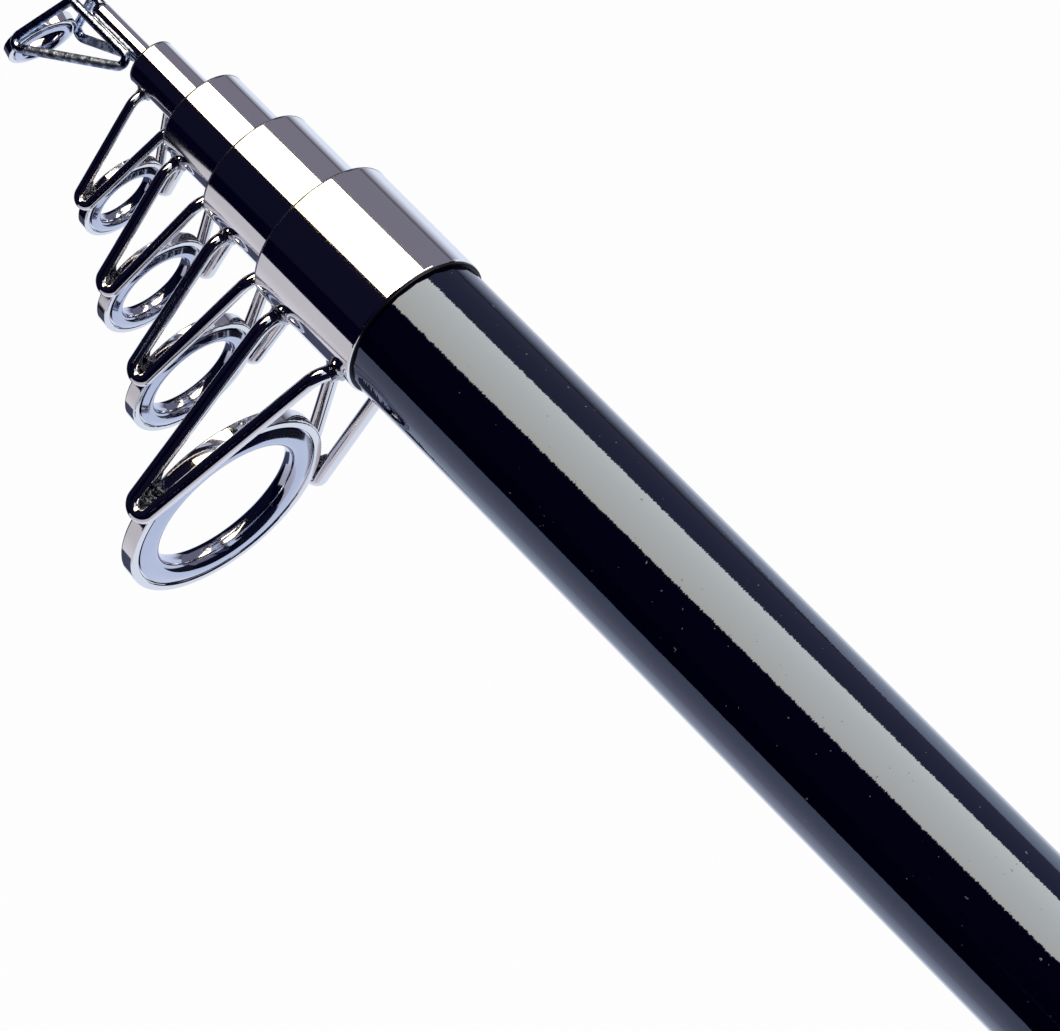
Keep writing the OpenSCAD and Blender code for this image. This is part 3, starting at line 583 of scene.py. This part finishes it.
# collar lips: the rolled front edges of the collars
lipForm = {"long": 0.16, "start": 0.06, "sunk": 0.1, "over": 0.05, "proud": 0.012, "round": 0.2, "deep": 0.35,
           "steps": 8, "spin": 160}
collarLips = {"butt": "butt", "second": "second_section", "third": "third_section",
              "fourth": "fourth_section"}


def addLip(key, body):
    high = Vector(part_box(key + "_guide_collar")[1]) / mm
    front, top = high.x + lipForm["over"], high.y + lipForm["proud"]
    rear, low, soft = high.x - lipForm["long"], high.y - lipForm["deep"], lipForm["round"]
    start = rear - lipForm["start"]
    profile = [(start, low), (start, high.y - lipForm["sunk"]), (rear, top)]
    profile += arcPoints(front - soft, top - soft, soft, 90, 0, lipForm["steps"]) + [(front, low)]
    addPiece(turnedPiece(profile, lipForm["spin"]), key + "CollarLip", body, "chrome", trims["satin"])


for key, body in collarLips.items():
    addLip(key, body)
print("collar lips rolled")


# shade ring: a near-black bead behind the butt collar, painted shade for the dark line where the collar's
# rear edge meets the blank
collarShadeRing = {"x": 455.2, "wide": 0.34, "high": 8.45, "low": 8.0, "thick": (0, -0.56, 0.83),
              "thin": 0.3, "spin": 96}


def addShadeRing(spec):
    x, wide, low, high = (spec[k] for k in ("x", "wide", "low", "high"))
    soft = wide / 2
    profile = [(x, low), (x, high)] + arcPoints(x - soft, high - soft, soft, 90, 180) + [(x - wide, low)]
    made = turnedPiece(profile, spec["spin"])
    for vertex in made.data.vertices:                    # painted shade, fuller on one side
        spot = vertex.co / mm
        away = Vector((0, spot.y, spot.z))
        share = 0.5 + 0.5 * away.normalized().dot(Vector(spec["thick"]))
        size = spec["thin"] + (1 - spec["thin"]) * share
        radius = low + (away.length - low) * (0.5 + 0.5 * size)
        vertex.co = (Vector((x + (spot.x - x) * size, 0, 0)) + away.normalized() * radius) * mm
    addPiece(made, "collarShadeRing", "butt", "lacquered_blank", trims["seal"])


addShadeRing(collarShadeRing)
print("collar sealed")


# grips: turned foam sleeves, with the slight unevenness of ground foam
gripForm = {"rings": 72, "spin": 96, "round": 1.5, "uneven": 0.07, "grain": 0.16, "skin": 0.2, "ends": 0.1}
gripFoams = {
    "rearGripFoam": {"node": "rear_grip", "rearWall": 3.87, "frontWall": 3.87},
    "foreGripFoam": {"node": "fore_grip", "rearWall": 3.8, "frontWall": 1.6},
}


def addGrip(name, node, rearWall, frontWall):
    low, high = (corner / mm for corner in map(Vector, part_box(node)))
    bore = high.z - rearWall
    front = bore + frontWall
    soft, ends = gripForm["round"], gripForm["ends"]
    profile = arcPoints(low.x + soft, high.z - soft, soft, 180, 90)
    for k in range(1, gripForm["rings"]):
        share = k / gripForm["rings"]
        x = low.x + soft + share * (high.x - low.x - 2 * soft)
        profile.append((x, high.z + (front - high.z) * share))
    profile += arcPoints(high.x - soft, front - soft, soft, 90, 0)
    profile += [(high.x, bore), (low.x, bore)]
    made = turnedPiece(profile, gripForm["spin"])
    for vertex in made.data.vertices:
        spot = vertex.co / mm
        away = Vector((0, spot.y, spot.z))
        if away.length > bore + gripForm["skin"] and low.x + ends < spot.x < high.x - ends:
            share = 0.5 + 0.5 * noise.noise(spot * gripForm["grain"])
            vertex.co -= away.normalized() * share * gripForm["uneven"] * mm
    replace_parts(addPiece(made, name, "butt", "foam_grip"), node)


for name, spec in gripFoams.items():
    addGrip(name, **spec)
print("grips turned")


def threadRidge(x, root, crest, spec):   # a ridge wound on the root of a thread, a little sunk in it
    base, top, low = spec["ridgeBase"] / 2, spec["ridgeTop"] / 2, root - meshForm["ridgeSunk"]
    made = startLoop([(x - base, 0, low), (x - top, 0, crest), (x + top, 0, crest), (x + base, 0, low)])
    screw = made.modifiers.new("screw", "SCREW")
    screw.axis = "X"
    screw.angle = 2 * math.pi
    screw.screw_offset = spec["pitch"] * mm
    screw.iterations = spec["turns"]
    screw.steps = screw.render_steps = meshForm["screwSteps"]
    bpy.ops.object.modifier_apply(modifier="screw")
    bpy.ops.object.mode_set(mode="EDIT")
    bpy.ops.mesh.select_all(action="SELECT")
    bpy.ops.mesh.fill_holes(sides=4)
    closeUp()
    return made


def cutBox(made, low, high):             # takes a box out of a piece
    bpy.ops.object.select_all(action="DESELECT")
    bpy.ops.mesh.primitive_cube_add(size=1)
    box = bpy.context.object
    for vertex in box.data.vertices:
        vertex.co = Vector([(a + b) / 2 + c * (b - a) for a, b, c in zip(low, high, vertex.co)]) * mm
    bpy.ops.object.select_all(action="DESELECT")
    made.select_set(True)
    bpy.context.view_layer.objects.active = made
    cut = made.modifiers.new("cut", "BOOLEAN")
    cut.operation = "DIFFERENCE"
    cut.object = box
    cut.solver = "EXACT"
    bpy.ops.object.modifier_apply(modifier="cut")
    bpy.data.objects.remove(box)
    closeUp()


def joined(first, *others):
    bpy.ops.object.select_all(action="DESELECT")
    for made in (first, *others):
        made.select_set(True)
    bpy.context.view_layer.objects.active = first
    bpy.ops.object.join()
    bpy.ops.object.shade_smooth_by_angle(angle=math.radians(meshForm["softAngle"]))
    return first


# reel seat: a turned barrel with a rear flange, a keyway and the lock nut's thread
seatForm = {"wall": 2.08, "flange": 1.5, "flangeWide": 4.0, "edge": 0.3, "chamfer": 0.5, "spin": 96,
            "threadX": 166.6, "step": (0.9, 0.2), "root": 0.72, "crest": 0.06, "pitch": 2.0, "turns": 18,
            "ridgeBase": 1.5, "ridgeTop": 0.6, "keyX": 146.5, "keyWide": 3.2, "keyDeep": 0.9, "keyOver": 1}


def addSeat(spec):
    low, high = (corner / mm for corner in map(Vector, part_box("reel_seat")))
    barrel = high.z - spec["flange"]
    bore, root = barrel - spec["wall"], barrel - spec["root"]
    edge, soft, shoulder = spec["edge"], spec["chamfer"], low.x + spec["flangeWide"]
    stepTop, stepFoot = (spec["threadX"] - before for before in spec["step"])
    profile = arcPoints(low.x + edge, high.z - edge, edge, 180, 90)
    profile += arcPoints(shoulder - edge, high.z - edge, edge, 90, 0)
    profile += [(shoulder, barrel), (stepTop, barrel), (stepFoot, root), (high.x - soft, root),
                (high.x, root - soft), (high.x, bore), (low.x, bore)]
    made = turnedPiece(profile, spec["spin"])
    ridge = threadRidge(spec["threadX"] + spec["ridgeBase"] / 2, root, barrel - spec["crest"], spec)
    half, over = spec["keyWide"] / 2, spec["keyOver"]
    keyLow = (spec["keyX"], -half, barrel - spec["keyDeep"])
    keyHigh = (high.x + over, half, barrel + over)
    for solid in (made, ridge):
        cutBox(solid, keyLow, keyHigh)
    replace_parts(addPiece(joined(made, ridge), "seatBarrel", "butt", "seat_barrel"), "reel_seat")


addSeat(seatForm)
print("reel seat threaded")


# butt cap: a knurled rim, a coin slot in the domed end and a threaded plug
capForm = {"headLen": 8.0, "edge": 0.3, "plugWall": 1.6, "plugGap": 0.72, "plugLead": 0.4, "threadFrom": 1.4,
           "root": 0.42, "crest": 0.05, "pitch": 1.5, "turns": 5, "ridgeBase": 1.1, "ridgeTop": 0.4,
           "ribs": 72, "ribDeep": 0.28, "ribFrom": 0.7, "ribTo": 3.6, "ribSpare": 0.2, "rim": 0.05,
           "slotLong": 17.0, "slotWide": 1.8, "slotDeep": 1.4, "slotOver": 1}


def addCap(spec):
    low, high = (corner / mm for corner in map(Vector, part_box("butt_cap")))
    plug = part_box("cap_socket")[1][2] / mm - spec["plugGap"]
    face, dome = low.x + spec["headLen"], spec["headLen"] / 2
    root, inner, edge = plug - spec["root"], plug - spec["plugWall"], spec["edge"]
    ribLow, ribHigh, rim = face - spec["ribTo"], face - spec["ribFrom"], spec["rim"]
    profile = [(low.x, 0)] + arcPoints(low.x + dome, high.z - dome, dome, 180, 90)
    profile += [(x, high.z) for x in (ribLow + rim, ribLow + edge, ribHigh - edge, ribHigh, face - edge)]
    profile += [(face, high.z - edge), (face, root), (high.x - spec["plugLead"], root), (high.x, root - edge),
                (high.x, inner), (face, inner), (face, 0)]
    made = turnedPiece(profile, 2 * spec["ribs"])
    spare = spec["ribSpare"]
    for vertex in made.data.vertices:
        spot = vertex.co / mm
        away = Vector((0, spot.y, spot.z))
        if away.length > high.z - rim and ribLow + spare < spot.x < ribHigh - spare:
            turn = round(math.atan2(spot.z, spot.y) * spec["ribs"] / math.pi)
            vertex.co -= away.normalized() * spec["ribDeep"] * (turn % 2) * mm
    ridge = threadRidge(face + spec["threadFrom"], root, plug - spec["crest"], spec)
    half, wide = spec["slotLong"] / 2, spec["slotWide"] / 2
    cutBox(made, (low.x - spec["slotOver"], -half, -wide), (low.x + spec["slotDeep"], half, wide))
    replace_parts(addPiece(joined(made, ridge), "buttCap", "butt_cap", "butt_cap"), "butt_cap")


addCap(capForm)
print("butt cap cut")


# studio: a pale floor, one soft light from above, and cards that only mirrors see
studio = {
    "floorPlace": (0.3, 0, -0.32), "floorSize": 12, "floorShare": 0.97, "paper": (0.86, 0.86, 0.86, 1),
    "mirrorWhite": (0.80, 0.87, 1.0),
    "lampPlace": (0.86, 0.35, 1.0), "lampAim": (0.35, 0.0, 0.0), "lampSize": (0.9, 1.3), "lampPower": 9.0,
    "lightTint": (1.0, 0.97, 0.92), "fill": 0.3,
}
night, dusk = (0.005, 0.005, 0.017), (0.0012, 0.001, 0.0085)
cards = {                                # two opposite corners or all four, and the shade that mirrors show
    "wallCard": {"corners": ((-0.9, 1.4, -0.31), (2.1, 1.4, 2.2)),
                 "tone": dusk, "fade": (2, 0.1, 0.5, night)},
    "darkFloorCard": {"corners": ((-0.9, 0.295, -0.312), (2.1, 1.4, -0.312)), "tone": dusk},
    "paleCard": {"corners": ((-0.9, 0, -0.31), (0.638, 0, -0.31), (-0.9, 0.295, -0.31), (0.70, 0.295, -0.31)),
                 "tone": (0.72, 0.71, 0.77), "fade": (1, 0, 0.14, (0.58, 0.56, 0.60))},
    "darkEndCard": {"corners": ((0.638, 0, -0.31), (2.1, 0, -0.31), (0.70, 0.295, -0.31),
                                (2.1, 0.295, -0.31)), "tone": dusk},
    "lineCard": {"corners": ((0.605, -0.2, -0.311), (2.1, 0, -0.311)), "tone": (0.06, 0.065, 0.11)},
    "greyCard": {"corners": ((-0.9, -1.6, 0.92), (2.1, 0.3, 1.5)), "tone": (0.20, 0.19, 0.245)},
    "greyEdgeCard": {"corners": ((1.15, -1.6, 0.1), (2.1, -1.6, 0.92)),
                     "tone": (0.75, 0.80, 0.95), "fade": (2, 0.2, 0.85, (0.09, 0.085, 0.11))},
    "frontCard": {"corners": ((0.9, -0.05, -0.31), (0.9, 1.4, 0.35)), "tone": night},
    "mouthCard": {"corners": ((1.5, -1.2, -0.31), (1.5, 1.4, 1.0)), "tone": night},
    "rearCard": {"corners": ((-0.1, -0.55, -0.31), (-0.1, 1.4, 0.6)), "tone": night},
    "backCard": {"corners": ((-0.9, -0.76, -0.31), (0.2, -0.76, 0.6)), "tone": (0.012, 0.012, 0.02)},
    "softBoxFace": {"corners": ((0.60, 0.63, 0.9), (1.36, 1.37, 0.9), (0.45, -0.59, 0.9), (1.12, 0.045, 0.9)),
                    "tone": (6.75, 5.7, 3.75), "fade": (1, -0.2, 1.15, (5.9, 4.6, 2.75))},
}


def bareMaterial(name):
    made = bpy.data.materials.new(name)
    made.use_nodes = True
    made.node_tree.nodes.clear()
    return made, made.node_tree


def showSurface(tree, look):
    out = tree.nodes.new("ShaderNodeOutputMaterial")
    tree.links.new(look.socket, out.inputs["Surface"])


def seenRays(tree):                      # the rays from mirrors, and all rays by which a thing is seen
    path = tree.nodes.new("ShaderNodeLightPath")
    direct, mirrored, through = (Val(tree, path.outputs["Is " + kind + " Ray"])
                                 for kind in ("Camera", "Glossy", "Transmission"))
    return mirrored, direct + mirrored + through


def cardMaterial(name, tone, fade):      # fade: the axis, where it starts and ends, and the shade at its end
    made, tree = bareMaterial(name)
    place = Val(tree, tree.nodes.new("ShaderNodeTexCoord").outputs["Object"])
    glow = place.node("ShaderNodeEmission", None, {"Color": (*tone, 1), "Strength": 1})
    if fade:
        axis, start, end, farTone = fade
        share = place.node("ShaderNodeMapRange", None, {0: place.axis(axis), 1: start, 2: end})
        farGlow = place.node("ShaderNodeEmission", None, {"Color": (*farTone, 1), "Strength": 1})
        glow = place.node("ShaderNodeMixShader", None, {0: share, 1: glow, 2: farGlow})
    showSurface(tree, glow)
    return made


def addCard(name, spec):
    corners = spec["corners"]
    if len(corners) == 2:
        low, high = corners
        second = (low[0], high[1], low[2]) if low[0] == high[0] else (high[0], low[1], low[2])
        third = (low[0], low[1], high[2]) if low[0] == high[0] else (low[0], high[1], high[2])
        corners = (low, second, third, high)
    bpy.ops.object.select_all(action="DESELECT")
    bpy.ops.mesh.primitive_plane_add(size=1)
    card = bpy.context.object
    card.name = name
    for point, spot in zip(card.data.vertices, corners):
        point.co = spot
    card.data.materials.append(cardMaterial(name, spec["tone"], spec.get("fade")))
    card.visible_camera = False
    card.visible_diffuse = False
    card.visible_shadow = False


def addSoftLight(spec):
    bpy.ops.object.light_add(type="AREA")
    lamp = bpy.context.object
    lamp.name = "softLight"
    lamp.data.shape = "RECTANGLE"
    lamp.data.size, lamp.data.size_y = spec["lampSize"]
    lamp.data.energy = spec["lampPower"]
    lamp.data.color = spec["lightTint"]
    aim = Vector(spec["lampPlace"]) - Vector(spec["lampAim"])
    turned = aim.to_track_quat("Z", "Y").to_matrix().to_4x4()
    lamp.matrix_world = Matrix.Translation(spec["lampPlace"]) @ turned
    lamp.visible_camera = False
    lamp.visible_glossy = False


def addFloor(spec):
    bpy.ops.object.select_all(action="DESELECT")
    bpy.ops.mesh.primitive_plane_add(size=spec["floorSize"], location=spec["floorPlace"])
    floor = bpy.context.object
    floor.name = "studioFloor"
    made, tree = bareMaterial("floorPaper")
    mirrored, seen = seenRays(tree)
    paper = seen.node("ShaderNodeBsdfDiffuse", None, {"Color": spec["paper"]})
    white = mirrored.tint((1, 1, 1), spec["mirrorWhite"])
    glow = seen.node("ShaderNodeEmission", None, {"Color": white, "Strength": 1})
    share = seen * spec["floorShare"]
    showSurface(tree, seen.node("ShaderNodeMixShader", None, {0: share, 1: paper, 2: glow}))
    floor.data.materials.append(made)


def addWorld(spec):
    world = bpy.data.worlds.new("studioWorld")
    bpy.context.scene.world = world
    world.use_nodes = True
    tree = world.node_tree
    back = tree.nodes["Background"]
    mirrored, seen = seenRays(tree)
    white = mirrored.tint((1, 1, 1), spec["mirrorWhite"])
    tree.links.new(white.socket, back.inputs["Color"])
    tree.links.new(seen.between(spec["fill"], 1).socket, back.inputs["Strength"])


addFloor(studio)
addWorld(studio)
addSoftLight(studio)
for name, spec in cards.items():
    addCard(name, spec)
bpy.context.scene.view_settings.view_transform = "Standard"
print("studio set")
